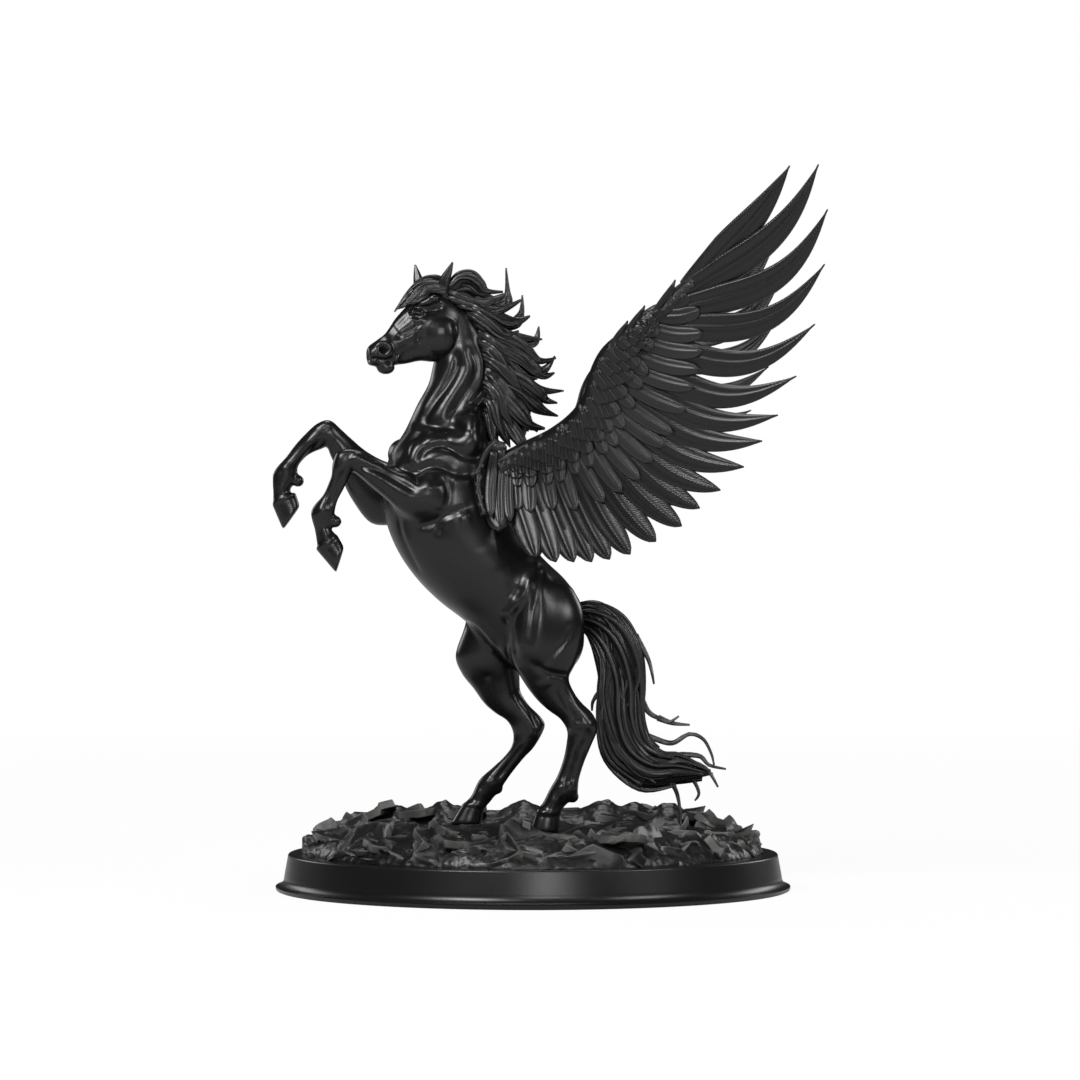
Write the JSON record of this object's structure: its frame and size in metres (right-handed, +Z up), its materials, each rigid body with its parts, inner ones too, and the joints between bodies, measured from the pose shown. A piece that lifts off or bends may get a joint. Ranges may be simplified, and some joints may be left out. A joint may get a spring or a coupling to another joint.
{
  "type": "pegasus figurine",
  "caption": "Rearing winged horse with raised wings and a flowing tail on a rocky mound, cast in one piece with its round turned plinth.",
  "frame": {"origin": "centre of the plinth's flat underside", "axes": "+Z up, the horse faces -X, its left side and near wing are towards -Y"},
  "size_m": [0.2189, 0.2056, 0.2848],
  "materials": {
    "black_resin": "satin"
  },
  "bodies": {
    "root": {"pegasus_figurine": "black_resin"}
  },
  "joints": []
}
